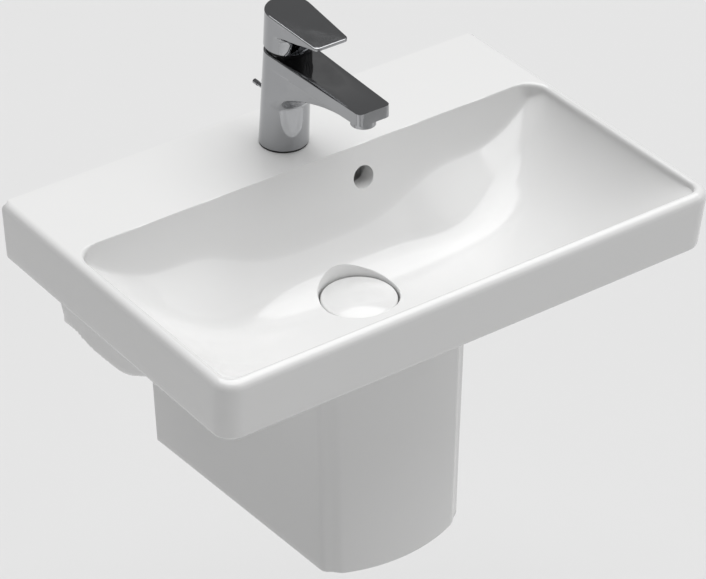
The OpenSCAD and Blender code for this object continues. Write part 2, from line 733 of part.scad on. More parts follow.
// ---------------------------------------------------------------- waste
module plug_cover() {
  dome_rise = 4;
  r = cover_d / 2;
  sphere_r = (r * r + dome_rise * dome_rise) / (2 * dome_rise);
  color("white") at_waste() translate([0, 0, cover_low]) rotate_extrude($fn = 96) intersection() {
    square([r, 2 * dome_rise]);
    translate([0, 2 * dome_rise - sphere_r]) circle(r = sphere_r, $fn = 720);
  }
}
module plug_stem() {
  eye_z = ball_z - inner_arm * sin(rod_tilt);
  color("silver") at_waste() difference() {
    union() {
      bar_z(20, cover_low - 2.4, cover_low);
      bar_z(stem_r, eye_z + 5, cover_low - 2);
      box(-6, 6, -3, 3, eye_z - 7, eye_z + 6);
    }
    translate([0, 0, eye_z]) bar_y(3.6, -4, 4);
  }
}
module plug_seal() { color("dimgray") at_waste() ring_z(20, 8, cover_low - 4.2, cover_low - 2.4); }
flange_low = -recess_depth + gasket_top_t;
module waste_body() {
  color("silver") at_waste() difference() {
    union() {
      bar_z(flange_r, flange_low, flange_low + flange_t);
      bar_z(body_r, body_end, flange_low + 1);
    }
    bar_z(pipe_r + fit_gap, body_end - eps, body_end + 16);
    difference() {
      bar_z(pipe_r + 1, body_end + 14, flange_low + flange_t + eps);
      difference() {
        union() {
          box(-pipe_r - 2, pipe_r + 2, -1.5, 1.5, boss_z - 4, boss_z + 4);
          bar_z(stem_r + 3, boss_z - 4, boss_z + 4);
        }
        bar_z(stem_r + 0.1, boss_z - 6, boss_z + 6);
      }
    }
    bar_z(pipe_r - 1, body_end - eps, body_end + 18);
    for (a = [45:90:315]) rotate([0, 0, a]) box(pipe_r - 2, body_r + eps, -5, 5, duct_z - 6, duct_z + 6);
  }
}
module waste_gasket_top() { color("black") at_waste() ring_z(flange_r - 1, waste_hole_r, -recess_depth, flange_low); }
module waste_gasket_bottom() { color("black") at_waste() ring_z(32, body_r + 0.1, boss_z - 5, boss_z); }
module waste_washer() { color("gainsboro") at_waste() ring_z(32, body_r + 0.1, boss_z - 7, boss_z - 5); }
module waste_nut() {
  color("goldenrod") at_waste() difference() {
    translate([0, 0, boss_z - 15]) cylinder(h = 8, r = 30, $fn = 8);
    bar_z(body_r + fit_gap, boss_z - 16, boss_z - 6);
  }
}
module waste_tail() {
  color("silver") at_waste() difference() {
    union() {
      bar_z(pipe_r, tail_end, body_end + 15.5);
      translate([0, 0, ball_z]) bar_y(11, 0, inner_arm);
    }
    bar_z(pipe_r - 2, tail_end - eps, body_end + 16);
    translate([0, 0, ball_z]) {
      bar_y(5, 0, inner_arm);
      bar_y(ball_r + fit_gap, inner_arm - 10, inner_arm + eps);
    }
  }
}
module ball_seal() {
  color("black") at_waste() translate([0, 0, ball_z]) ring_y(ball_r - fit_gap, 4.8, inner_arm - 10, inner_arm - 7.4);
}
module ball_nut() {
  color("silver") at_waste() translate([0, 0, ball_z]) difference() {
    bar_y(14, inner_arm - 6, inner_arm + 10);
    bar_y(11 + fit_gap, inner_arm - 7, inner_arm);
    translate([0, inner_arm, 0]) sphere(r = ball_r + fit_gap);
    bar_y(5, inner_arm + 5, inner_arm + 12);
  }
}

// ---------------------------------------------------------------- bottle trap
module trap_inlet_nut() {
  color("silver") at_waste() difference() {
    bar_z(nut_r, trap_neck_top - 15, trap_neck_top + 7);
    bar_z(trap_neck_r + fit_gap, trap_neck_top - 16, trap_neck_top + 4.2);
    bar_z(pipe_r + seat_gap, trap_neck_top, trap_neck_top + 8);
  }
}
module trap_inlet_washer() {
  color("black") at_waste() ring_z(trap_neck_r - 0.2, pipe_r + fit_gap, trap_neck_top, trap_neck_top + 4);
}
module trap_body() {
  branch_z = -outlet_drop;
  color("silver") at_waste() difference() {
    union() {
      bar_z(trap_r, cup_rim, trap_top);
      bar_z(trap_neck_r, trap_top - 2, trap_neck_top);
      translate([0, 0, branch_z]) bar_y(trap_neck_r - 0.5, 0, trap_r + 20);
    }
    bar_z(trap_bore_r, cup_rim - eps, trap_top - 4);
    bar_z(pipe_r + fit_gap, tail_end - 3, trap_neck_top + eps);
    bar_z(pipe_r - 1, trap_top - 5, tail_end);
    translate([0, 0, branch_z]) bar_y(pipe_r + fit_gap, trap_r, trap_r + 21);
    translate([0, 0, branch_z]) bar_y(pipe_r - 2, 0, trap_r + 1);
  }
}
module trap_dip_tube() {
  color("silver") at_waste() ring_z(pipe_r - 1.1, pipe_r - 2.6, cup_bottom + 14, trap_top + 5);
}
module trap_cup_seal() { color("black") at_waste() ring_z(trap_r, trap_bore_r + 0.5, cup_rim - 2.5, cup_rim); }
module trap_cup() {
  color("silver") at_waste() difference() {
    union() {
      bar_z(trap_r + 3.5, cup_rim - 8, cup_rim + 7);
      bar_z(trap_r, cup_bottom + 6, cup_rim);
      translate([0, 0, cup_bottom + 6]) rotate_extrude() intersection() {
        translate([trap_r - 6, 0]) circle(r = 6);
        translate([0, -6]) square([trap_r, 6]);
      }
      bar_z(trap_r - 6, cup_bottom, cup_bottom + 7);
    }
    bar_z(trap_r + fit_gap, cup_rim - 2.5, cup_rim + 8);
    bar_z(trap_bore_r, cup_bottom + 3.5, cup_rim);
  }
}
module trap_outlet_nut() {
  y0 = -waste_setback + trap_r + 20;
  color("silver") at_rim() translate([0, 0, -outlet_drop]) difference() {
    bar_y(nut_r - 1, y0 - 13, y0 + 7);
    bar_y(trap_neck_r - 0.5 + fit_gap, y0 - 14, y0 + 4.2);
    bar_y(pipe_r + seat_gap, y0, y0 + 8);
  }
}
module trap_outlet_washer() {
  y0 = -waste_setback + trap_r + 20;
  color("black") at_rim() translate([0, 0, -outlet_drop])
    ring_y(trap_neck_r - 0.7, pipe_r + fit_gap, y0, y0 + 4);
}
module outlet_pipe() {
  color("silver") at_rim() translate([0, 0, -outlet_drop]) difference() {
    union() {
      bar_y(pipe_r, outlet_tail - spigot_len, outlet_tail);
      bar_y(pipe_r - 0.2, -waste_setback + trap_r + 4, outlet_tail - spigot_len + 1);
    }
    bar_y(pipe_r - 1.8, -waste_setback + trap_r + 3, outlet_tail + eps);
  }
}
// Domed wall rosette
module rosette(r, bore, depth) {
  sphere_r = (r * r + depth * depth) / (2 * depth);
  difference() {
    intersection() {
      bar_y(r, -depth, 0);
      translate([0, sphere_r - depth, 0]) sphere(r = sphere_r, $fn = 96);
    }
    bar_y(bore, -depth - eps, eps);
    translate([0, sphere_r - depth + 1.5, 0]) sphere(r = sphere_r, $fn = 96);
  }
}
module outlet_rosette() {
  color("silver") at_rim() translate([0, 0, -outlet_drop]) rosette(35, pipe_r + seat_gap, 13);
}

// ---------------------------------------------------------------- stop valves
module valve(side) {
  color("silver") at_valve(side) difference() {
    union() {
      bar_y(thread_r, -1, thread_len);
      bar_y(valve_r, valve_y - 14, 0);
      translate([0, valve_y, 0]) bar_z(9, 0, 22);
      bar_y(9, valve_y - 20, valve_y - 14);
    }
    translate([0, valve_y, 0]) bar_z(tail_r + fit_gap, 14, 23);
    translate([0, valve_y, 0]) bar_z(3, 0, 15);
    bar_y(6, valve_y, thread_len + eps);
    bar_y(4 + fit_gap, valve_y - 21, valve_y - 8);
  }
}
module valve_hot() { valve(-1); }
module valve_cold() { valve(1); }
module valve_handle(side) {
  color("silver") at_valve(side) {
    bar_y(4, valve_y - 24, valve_y - 10);
    difference() {
      bar_y(15, valve_y - 38, valve_y - 20.4);
      for (a = [0:45:315]) rotate([0, a, 0]) translate([17.5, 0, 0]) bar_y(4, valve_y - 39, valve_y - 22);
    }
  }
}
module valve_handle_hot() { valve_handle(-1); }
module valve_handle_cold() { valve_handle(1); }
module valve_nuts() {
  color("silver") for (side = [-1, 1]) at_valve(side) translate([0, valve_y, 0]) difference() {
    translate([0, 0, 16]) cylinder(h = 14, r = 12, $fn = 6);
    bar_z(9 + fit_gap, 15, 22.4);
    bar_z(tail_r + fit_gap, 16, 31);
  }
}
module valve_rosettes() {
  color("silver") for (side = [-1, 1]) at_valve(side) rosette(27, valve_r + 0.1, 9);
}

basin();
half_pedestal();
tap_body();
tap_gasket();
gap_ring();
cartridge_body();
disc_lower();
disc_upper();
cartridge_rotor();
pivot_pin();
cartridge_stem();
cartridge_nut();
lever_handle();
grub_screw();
screw_cover();
aerator_housing();
aerator_insert();
aerator_seal();
tap_stud();
clamp_seal();
clamp_plate();
clamp_nut();
tail_hot();
tail_cold();
lift_rod();
lift_knob();
strap();
strap_screw();
spring_clip();
plug_cover();
plug_stem();
plug_seal();
waste_body();
waste_gasket_top();
waste_gasket_bottom();
waste_washer();
waste_nut();
waste_tail();
ball_rod();
ball_seal();
ball_nut();
trap_inlet_nut();
trap_inlet_washer();
trap_body();
trap_dip_tube();
trap_cup_seal();
trap_cup();
trap_outlet_nut();
trap_outlet_washer();
outlet_pipe();
outlet_rosette();
valve_hot();
valve_cold();
valve_handle_hot();
valve_handle_cold();
valve_nuts();
valve_rosettes();
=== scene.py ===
"""Wall-hung washbasin with a half pedestal: glazed ceramic, chrome tap and fittings, round the frame."""
import json
import math

import bmesh
import bpy
import numpy as np
from mathutils import Matrix, Vector


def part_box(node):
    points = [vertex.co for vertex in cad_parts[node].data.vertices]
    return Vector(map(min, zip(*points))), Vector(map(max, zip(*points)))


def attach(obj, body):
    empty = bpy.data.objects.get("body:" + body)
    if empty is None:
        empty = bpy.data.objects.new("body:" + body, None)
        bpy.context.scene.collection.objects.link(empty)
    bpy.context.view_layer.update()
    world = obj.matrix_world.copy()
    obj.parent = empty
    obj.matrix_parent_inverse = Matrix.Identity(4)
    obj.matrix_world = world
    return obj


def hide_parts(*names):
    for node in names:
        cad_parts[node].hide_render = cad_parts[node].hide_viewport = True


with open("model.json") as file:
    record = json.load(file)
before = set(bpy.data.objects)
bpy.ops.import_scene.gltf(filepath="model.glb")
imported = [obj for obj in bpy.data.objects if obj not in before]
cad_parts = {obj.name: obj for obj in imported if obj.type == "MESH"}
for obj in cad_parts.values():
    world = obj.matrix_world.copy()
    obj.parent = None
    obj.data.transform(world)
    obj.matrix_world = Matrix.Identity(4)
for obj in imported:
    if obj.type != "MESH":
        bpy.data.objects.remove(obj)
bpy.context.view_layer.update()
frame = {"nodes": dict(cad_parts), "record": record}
nodes = frame["nodes"]
MM = 0.001

# ---------------------------------------------------------------- sizes from the frame, in millimetres
def node_box(name):
    low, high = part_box(name)
    return np.array(low) / MM, np.array(high) / MM


def centre(name):
    low, high = node_box(name)
    return (low + high) / 2


basin_low, basin_high = node_box("basin")
RIM = basin_high[2]
HALF_W = basin_high[0]
DEPTH = -basin_low[1]
BAND_H = 63.5
DECK_D = 110.0
LIP_SIDE = 11.5
LIP_FRONT = 11.0
LIP_DEPTH = 4.0
SHELL = 12.0
DECK_T = 14.0
EDGE_R = 8.0          # rounding of the outer top edge
FOOT_R = 4.0          # rounding of the band's foot
SIDE_TAPER = 2.3      # how far the band's foot stands in at each side
FRONT_TAPER = 6.0     # and at the front
CORNER_R = 20.0
COVER = node_box("plug_cover")
COVER_R = (COVER[1][0] - COVER[0][0]) / 2
WASTE_Y = -centre("plug_cover")[1]
RECESS_R = COVER_R + 1.7
RECESS_Z = -127.0
RECESS_FILLET = 3.0
WASTE_R = 23.0
TAP_Y = -centre("tap_gasket")[1]
BOWL_X = HALF_W - LIP_SIDE
BOWL_FRONT = DEPTH - LIP_FRONT
BOSS_R = 42.0
BOSS_Z = RECESS_Z - 31.0
OVERFLOW = (54.0, -33.0, 11.5)     # x, height from the rim, radius
DUCT = (OVERFLOW[0] - 14, OVERFLOW[0] + 14)
DUCT_WALL = 7.0       # ceramic at each side of the overflow duct
DUCT_FRONT = 84.0     # distance from the wall at which that ceramic starts
DUCT_FOOT = -150.0    # its lowest level
DUCT_BACK_Y, DUCT_FRONT_Y, DUCT_LOW = -92.0, -102.0, -143.0
TAP_HOLE_R = 17.5
BOLT_X, BOLT_R = 140.0, 8.0
BACK_T = 20.0         # ceramic at the wall
BAY_END = 132.0       # where the bays of the hollow end, from the wall


# ---------------------------------------------------------------- mesh helpers
def new_object(name, verts, faces, smooth=True):
    mesh = bpy.data.meshes.new(name)
    corners = [tuple(v) for v in np.asarray(verts) * MM]
    mesh.from_pydata(corners, [], [tuple(int(i) for i in f) for f in faces])
    mesh.validate()
    mesh.update()
    piece = bpy.data.objects.new(name, mesh)
    bpy.context.scene.collection.objects.link(piece)
    if smooth:
        mesh.shade_smooth()
    return piece


def recalc(piece):
    bm = bmesh.new()
    bm.from_mesh(piece.data)
    bmesh.ops.recalc_face_normals(bm, faces=bm.faces)
    bm.to_mesh(piece.data)
    bm.free()
    return piece


def loft(rings, cap_start=True, cap_end=True, closed=True):
    """Vertices and faces of a skin over rings with equal numbers of points."""
    rings = [np.asarray(r) for r in rings]
    n = len(rings[0])
    verts = np.concatenate(rings)
    faces = []
    span = n if closed else n - 1
    for j in range(len(rings) - 1):
        for i in range(span):
            k = (i + 1) % n
            faces.append((j * n + i, j * n + k, (j + 1) * n + k, (j + 1) * n + i))
    if cap_start:
        faces.append(tuple(range(n - 1, -1, -1)))
    if cap_end:
        faces.append(tuple((len(rings) - 1) * n + i for i in range(n)))
    return verts, faces


def boolean(piece, cutter, operation="DIFFERENCE"):
    """Applies an exact boolean and removes the cutter."""
    mod = piece.modifiers.new("cut", "BOOLEAN")
    mod.operation = operation
    mod.solver = "EXACT"
    mod.object = cutter
    depsgraph = bpy.context.evaluated_depsgraph_get()
    mesh = bpy.data.meshes.new_from_object(piece.evaluated_get(depsgraph))
    piece.modifiers.clear()
    old = piece.data
    piece.data = mesh
    bpy.data.meshes.remove(old)
    bpy.data.objects.remove(cutter)
    return piece


def smooth_by_angle(piece, degrees):
    """Smooth shading with sharp edges above an angle."""
    mesh = piece.data
    mesh.shade_smooth()
    bm = bmesh.new()
    bm.from_mesh(mesh)
    limit = math.radians(degrees)
    for edge in bm.edges:
        if len(edge.link_faces) == 2:
            edge.smooth = edge.calc_face_angle(0) < limit
    bm.to_mesh(mesh)
    bm.free()
    return piece


def cylinder(name, r, start, end, segments=96):
    """Closed round bar between two points, in millimetres."""
    start, end = np.array(start, float), np.array(end, float)
    axis = (end - start) / np.linalg.norm(end - start)
    side = np.cross(axis, [1, 0, 0] if abs(axis[0]) < 0.9 else [0, 1, 0])
    side /= np.linalg.norm(side)
    up = np.cross(axis, side)
    turn = np.linspace(0, 2 * math.pi, segments, endpoint=False)
    ring = np.outer(np.cos(turn), side) * r + np.outer(np.sin(turn), up) * r
    return recalc(new_object(name, *loft([start + ring, end + ring])))


def block(name, x0, x1, y0, y1, z0, z1):
    corners = np.array([[x0, y0], [x1, y0], [x1, y1], [x0, y1]])
    rings = [np.column_stack([corners, np.full(4, z)]) for z in (z0, z1)]
    return recalc(new_object(name, *loft(rings), smooth=False))


def resample(points, count, closed=True):
    """Spaces count points evenly along a line of points."""
    points = np.asarray(points, float)
    if closed:
        points = np.vstack([points, points[:1]])
    step = np.linalg.norm(np.diff(points, axis=0), axis=1)
    along = np.concatenate([[0], np.cumsum(step)])
    at = np.linspace(0, along[-1], count, endpoint=not closed)
    return np.column_stack([np.interp(at, along, points[:, k]) for k in range(points.shape[1])])


def smax(a, b, k):
    return np.maximum(a, b) + np.maximum(k - np.abs(a - b), 0) ** 2 / (4 * k)


def smin(a, b, k):
    return -smax(-a, -b, k)


def step(s, width):
    t = np.clip(s / width, 0, 1)
    return t * t * (3 - 2 * t)


# ---------------------------------------------------------------- basin surfaces, height from the rim
FOLD_Y = WASTE_Y - 36
FLOOR = 113.0
FOLD = 104.0
RISE_Y = 240.0
RISE_DEPTH = 108.0
RISE_P = 1.7
WALL_SLOPE = 1 / math.tan(math.radians(12))


def hammock(x, half):
    t = np.clip(np.abs(x) / half, 0, 1)
    return np.clip(1 - t ** 3.2, 0, 1) ** 0.8


def floor_line(d, x):
    """Depth along the bowl at a distance d from the wall."""
    fold = FOLD_Y + 14 * np.exp(-((np.abs(x) - 140) / 55) ** 2)
    band = FOLD + (d - fold) * 1.187
    plain = FOLD + (d - FOLD_Y) * (FLOOR - FOLD) / (WASTE_Y - FOLD_Y)
    t = np.clip((d - RISE_Y) / (BOWL_FRONT + 1 - RISE_Y), 0, 1)
    rise = LIP_DEPTH + (RISE_DEPTH - LIP_DEPTH) * np.clip(1 - t ** RISE_P, 0, 1) ** (1 / RISE_P)
    gentle = FLOOR - (d - WASTE_Y) * (FLOOR - RISE_DEPTH) / (RISE_Y - WASTE_Y)
    front = np.where(d > RISE_Y, rise, gentle)
    return smin(smin(band, plain, 9), front, 4)


def bowl_height(x, d):
    half = BOWL_X + 1.5
    floor = -LIP_DEPTH - (floor_line(d, x) - LIP_DEPTH) * hammock(x, half)
    wall = (DECK_D - d) * WALL_SLOPE
    return smax(floor, wall, 11)


def inner_outline(count):
    """Edge of the bowl in plan, anticlockwise from the middle of the back."""
    back_r, front_r = 22.0, 12.0
    arcs = [
        (BOWL_X - back_r, -DECK_D - back_r, back_r, 90, 0),
        (BOWL_X - front_r, -BOWL_FRONT + front_r, front_r, 0, -90),
        (-BOWL_X + front_r, -BOWL_FRONT + front_r, front_r, -90, -180),
        (-BOWL_X + back_r, -DECK_D - back_r, back_r, 180, 90),
    ]
    points = [[0, -DECK_D]]
    for cx, cy, r, a0, a1 in arcs:
        for a in np.radians(np.linspace(a0, a1, 24)):
            points.append([cx + r * math.cos(a), cy + r * math.sin(a)])
    return resample(points, count)


def outer_outline(inset):
    """Outer edge of the band in plan: wall corners sharp, front corners round, as a dense line."""
    x, y, r = HALF_W - inset, -DEPTH + inset, max(CORNER_R - inset, 1)
    points = [[0, 0], [x, 0]]
    for cx, cy, a0, a1 in ((x - r, y + r, 0, -90), (-x + r, y + r, -90, -180)):
        for a in np.radians(np.linspace(a0, a1, 33)):
            points.append([cx + r * math.cos(a), cy + r * math.sin(a)])
    points.append([-x, 0])
    return np.array(points, float)


RAYS = 520            # rays from the drain to the edge
BOWL_STEPS = 150      # rings over the bowl
UNDER_STEPS = 190     # rings over the underside
inner = inner_outline(RAYS)
drain = np.array([0.0, -WASTE_Y])
heading = inner - drain
heading /= np.linalg.norm(heading, axis=1)[:, None]


def lip_height(q):
    """Height of the rounded lip at a distance q inside the start of its rounding."""
    r = LIP_DEPTH
    return np.where(q < r * 0.999, -r + np.sqrt(np.clip(r * r - q * q, 0, None)), -r - (q - r * 0.999) * 25)


def bowl_rays(steps):
    """Rings of the bowl from the lip to the recess round the drain cover."""
    rays = []
    for p, h in zip(inner, heading):
        start = p + h * LIP_DEPTH
        length = np.linalg.norm(start - drain) - RECESS_R
        s = np.concatenate([np.linspace(0, 8, 90), np.linspace(8, length, 500)[1:]])
        xy = start - np.outer(s, h)
        z = smax(bowl_height(xy[:, 0], -xy[:, 1]), lip_height(s), 2.5)
        z = np.minimum(z, 0)
        rays.append(resample(np.column_stack([xy, z]), steps, closed=False))
    return [np.array([ray[j] for ray in rays]) for j in range(steps)]


def outline_rays(outline):
    """Where each ray from the drain meets an outline."""
    a = outline
    b = np.roll(outline, -1, axis=0)
    hits = []
    for h in heading:
        e = b - a
        w = a - drain
        det = h[0] * -e[:, 1] + h[1] * e[:, 0]
        det = np.where(np.abs(det) < 1e-9, 1e-9, det)
        t = (w[:, 0] * -e[:, 1] + w[:, 1] * e[:, 0]) / det
        u = (h[0] * w[:, 1] - h[1] * w[:, 0]) / det
        ok = (t > 0) & (u > -1e-6) & (u < 1 + 1e-6)
        hits.append(drain + h * t[ok].max())
    return np.array(hits)


def flat_ring(xy, z):
    return np.column_stack([xy, np.full(len(xy), float(z))])


def rounded_ring(inset, z):
    """A ring of the band, which leans inwards towards its foot; the wall side stays on the wall plane."""
    ring = outline_rays(outer_outline(inset))
    wall = outline_rays(outer_outline(0))
    on_wall = wall[:, 1] > -1e-6
    ring[on_wall] = wall[on_wall]
    ring[on_wall, 0] = np.clip(ring[on_wall, 0], -HALF_W + inset, HALF_W - inset)
    ring[on_wall, 1] = 0
    lean = min(max((-EDGE_R - z) / (BAND_H - EDGE_R), 0), 1)
    return flat_ring(ring * [1 - lean * SIDE_TAPER / HALF_W, 1 - lean * FRONT_TAPER / DEPTH], z)


# Lower surface of the basin, without its hollows
BODY_X = HALF_W - 46
BODY_LOW_X = HALF_W - 73
BODY_Z = -165.0       # lowest level
BODY_R = 15.0         # rounding along its lower sides
NOSE_Z = -BAND_H - 60


def body_height(x, d):
    """Underside of the box-shaped body below the band."""
    ax = np.abs(x)
    taper = 9 * np.clip(d / 120, 0, 1.6)
    side = -BAND_H - (BODY_X - taper * 0.5 - ax) * 7.46
    round_x = BODY_LOW_X - taper
    across = np.clip(ax - round_x, 0, BODY_R)
    corner = BODY_Z + BODY_R - np.sqrt(np.clip(BODY_R ** 2 - across ** 2, 0, None))
    side = np.where(ax < round_x + BODY_R, np.maximum(side, corner), side)
    wide = np.clip((ax - 120) / 90, 0, 1)
    slope_a = BODY_Z + (d - (120 - 20 * wide)) * (0.30 + 0.25 * wide)
    slope_b = NOSE_Z + (d - 262 + 60 * wide) * (0.95 + 0.2 * wide)
    low = smax(np.full_like(ax, BODY_Z), slope_a, 10)
    low = smax(low, slope_b, 14)
    return smax(low, side, 8)


def under_height(x, d):
    """Underside of body, bowl shell and waste boss together."""
    shell = bowl_height(x, d) - SHELL
    lower = smin(body_height(x, d), shell, 6)
    lower = np.minimum(lower, -BAND_H)
    from_drain = np.hypot(x, d - WASTE_Y)
    boss = np.where(from_drain < BOSS_R, BOSS_Z, 400.0 * (from_drain - BOSS_R) + BOSS_Z)
    return np.minimum(lower, boss)


def under_rays(edge, steps):
    rays = []
    for p, h in zip(edge, heading):
        length = np.linalg.norm(p - drain) - WASTE_R
        s = np.linspace(0, length, 700)
        xy = p - np.outer(s, h)
        z = under_height(xy[:, 0], -xy[:, 1])
        z[0] = -BAND_H
        rays.append(resample(np.column_stack([xy, z]), steps, closed=False))
    return [np.array([ray[j] for ray in rays]) for j in range(steps)]


def ring_round_drain(r, z):
    return flat_ring(drain + heading * r, z)


def basin_mesh():
    rings = []
    # waste hole, recess floor and its wall
    rings.append(ring_round_drain(WASTE_R, RECESS_Z))
    flat_r, fillet_z = RECESS_R - RECESS_FILLET, RECESS_Z + RECESS_FILLET
    rings.append(ring_round_drain(flat_r, RECESS_Z))
    for a in np.radians([0, 30, 60, 90]):
        rings.append(ring_round_drain(flat_r + RECESS_FILLET * math.sin(a),
                                      fillet_z - RECESS_FILLET * math.cos(a)))
    bowl = bowl_rays(BOWL_STEPS)
    edge = bowl[-1].copy()
    edge[:, 2] -= 1.2
    edge[:, :2] = drain + heading * RECESS_R
    bowl[-1][:, :2] = drain + heading * (RECESS_R + 0.8)
    mid = edge.copy()
    mid[:, 2] = (edge[:, 2] + fillet_z) / 2
    rings += [mid, edge]
    rings += bowl[::-1]
    # flat of the rim and deck, then the outer rounding and the band
    start = bowl[0]
    outer = rounded_ring(EDGE_R, 0)
    for t in (0.05, 0.15, 0.3, 0.5, 0.7, 0.85, 0.95):
        rings.append(start * (1 - t) + outer * t)
    for a in np.radians(np.linspace(0, 90, 12)):
        rings.append(rounded_ring(EDGE_R - EDGE_R * math.sin(a), -EDGE_R + EDGE_R * math.cos(a)))
    foot = BAND_H - FOOT_R
    for t in np.linspace(0.15, 1, 7):
        rings.append(rounded_ring(0, -EDGE_R - (foot - EDGE_R) * t))
    for a in np.radians([30, 60, 90]):
        rings.append(rounded_ring(FOOT_R - FOOT_R * math.cos(a), -foot - FOOT_R * math.sin(a)))
    rings = [r + np.array([0, 0, RIM]) for r in rings]
    edge_xy = rings[-1][:, :2]
    under = [r + np.array([0, 0, RIM]) for r in under_rays(edge_xy, UNDER_STEPS)]
    rings += under[1:]
    verts, faces = loft(rings + [rings[0]], cap_start=False, cap_end=False)
    count = len(rings) * RAYS
    verts = verts[:count]
    faces = [tuple(i % count for i in f) for f in faces]
    return recalc(new_object("basin_glazed", verts, faces))


def hollow_bay(name, x0, x1, d0, d1):
    """Cutter for one bay of the hollow behind the bowl, open below and roofed by the deck or the shell."""
    duct = (DUCT[0] - DUCT_WALL, DUCT[1] + DUCT_WALL, DUCT_FRONT)
    xs = np.linspace(x0, x1, 34)
    ds = np.linspace(d0, d1, 34)
    if x0 < duct[0] < x1:
        xs = np.sort(np.concatenate([xs, [duct[0] - 0.2, duct[0], duct[1], duct[1] + 0.2]]))
        ds = np.sort(np.concatenate([ds, [duct[2] - 0.2, duct[2]]]))
    grid_x, grid_d = np.meshgrid(xs, ds)
    top = np.minimum(-DECK_T, bowl_height(grid_x, grid_d) - SHELL)
    top = np.where(grid_d < DECK_D - SHELL, -DECK_T, top)
    in_duct = (grid_x >= duct[0]) & (grid_x <= duct[1]) & (grid_d >= duct[2])
    top = np.where(in_duct, np.minimum(top, DUCT_FOOT), top)
    n, m = grid_x.shape
    upper = np.column_stack([grid_x.ravel(), -grid_d.ravel(), top.ravel() + RIM])
    lower = upper.copy()
    lower[:, 2] = RIM + BODY_Z - 10
    verts = np.vstack([upper, lower])
    faces = []
    for j in range(n - 1):
        for i in range(m - 1):
            a, b, c, e = j * m + i, j * m + i + 1, (j + 1) * m + i + 1, (j + 1) * m + i
            faces.append((a, b, c, e))
            faces.append((e + n * m, c + n * m, b + n * m, a + n * m))
    rim = [i for i in range(m)] + [j * m + m - 1 for j in range(1, n)]
    rim += [(n - 1) * m + i for i in range(m - 2, -1, -1)] + [j * m for j in range(n - 2, 0, -1)]
    for a, b in zip(rim, rim[1:] + rim[:1]):
        faces.append((a, b, b + n * m, a + n * m))
    return recalc(new_object(name, verts, faces, smooth=False))


def make_basin():
    piece = basin_mesh()
    for x0, x1 in ((-195, -124), (124, 195), (-104, 104)):
        boolean(piece, hollow_bay("bay", x0, x1, BACK_T, BAY_END))
    boolean(piece, cylinder("cut", TAP_HOLE_R, (0, -TAP_Y, RIM - 20), (0, -TAP_Y, RIM + 3)))
    ox, oz, r = OVERFLOW
    boolean(piece, block("cut", *DUCT, DUCT_FRONT_Y, DUCT_BACK_Y, RIM + DUCT_LOW, RIM + oz + r))
    boolean(piece, cylinder("cut", r, (ox, -98, RIM + oz), (ox, -DECK_D - 20, RIM + oz)))
    for x in (-BOLT_X, BOLT_X):
        boolean(piece, cylinder("cut", BOLT_R, (x, -26, 0), (x, 3, 0)))
    return piece


# ---------------------------------------------------------------- half pedestal
PED_DROP = 342.0      # wall corner of the foot below the rim
PED_WALL_X, PED_FRONT_X = 123.0, 88.0
PED_CORNER_Y = 242.0
PED_BULGE = 19.0      # how far the front bows out between its corners
PED_T = 10.0
PED_SLOPE = 0.132     # fall of the foot towards the front
PED_GAP = 0.6         # joint under the basin
PED_OUTER_R, PED_INNER_R = 2.5, 2.0    # rounding of the foot's edges
EAR_X, EAR_HALF_H, EAR_T, EAR_HOLE_R = 94.0, 15.0, 14.0, 5.0


def pedestal_outline(t, inset, count=220):
    """Open outline in plan from one wall edge round the front to the other; t runs from top to foot."""
    wall = PED_WALL_X - 7 * t - inset
    front = PED_FRONT_X - 6 * t - inset
    cy = PED_CORNER_Y - inset
    arc_r = (front ** 2 + PED_BULGE ** 2) / (2 * PED_BULGE)
    half = math.asin((front - 5) / arc_r)
    r = 10.0 - inset * 0.5
    points = [[-wall, 0]]
    corner = [-front + r, -cy + r]
    for a in np.radians(np.linspace(180, 255, 14)):
        points.append([corner[0] + r * math.cos(a), corner[1] + r * math.sin(a)])
    for a in np.linspace(-half * 0.86, 0, 30):
        points.append([arc_r * math.sin(a), -cy - PED_BULGE + arc_r * (1 - math.cos(a))])
    left = np.array(points)
    right = left[:-1][::-1] * [-1, 1]
    return resample(np.vstack([left, right]), count, closed=False)


def pedestal_ring(level, inset, foot_lift=0.0):
    """Points of one row; level 0 is the top under the basin, 1 is the foot."""
    t = min(max(level, 0), 1)
    xy = pedestal_outline(t, inset)
    top = under_height(xy[:, 0], -xy[:, 1]) - PED_GAP
    foot = -PED_DROP + PED_SLOPE * xy[:, 1] + foot_lift
    z = top * (1 - level) + foot * level
    return np.column_stack([xy, z + RIM])


def make_pedestal():
    levels = np.linspace(0, 0.99, 40)
    rings = [pedestal_ring(v, 0) for v in levels]
    r = PED_OUTER_R
    for a in np.radians([30, 60, 90]):
        rings.append(pedestal_ring(1, r - r * math.cos(a), r - r * math.sin(a)))
    r = PED_INNER_R
    for a in np.radians([90, 60, 30, 0]):
        rings.append(pedestal_ring(1, PED_T - r + r * math.cos(a), r - r * math.sin(a)))
    rings += [pedestal_ring(v, PED_T) for v in levels[::-1]]
    verts, faces = loft(rings + [rings[0]], cap_start=False, cap_end=False, closed=False)
    n = len(rings[0])
    count = len(rings) * n
    faces = [tuple(i % count for i in f) for f in faces]
    verts = verts[:count]
    faces.append(tuple(row * n for row in range(len(rings))))
    faces.append(tuple(row * n + n - 1 for row in reversed(range(len(rings)))))
    piece = recalc(new_object("half_pedestal_glazed", verts, faces))
    for side in (-1, 1):
        x = side * EAR_X
        z = RIM - PED_DROP + 22
        x0, x1 = sorted((x - side * 12, x + side * 16))
        boolean(piece, block("ear", x0, x1, -EAR_T, 0, z - EAR_HALF_H, z + EAR_HALF_H), "UNION")
        boolean(piece, cylinder("cut", EAR_HOLE_R, (x, -20, z), (x, 3, z)))
    return piece


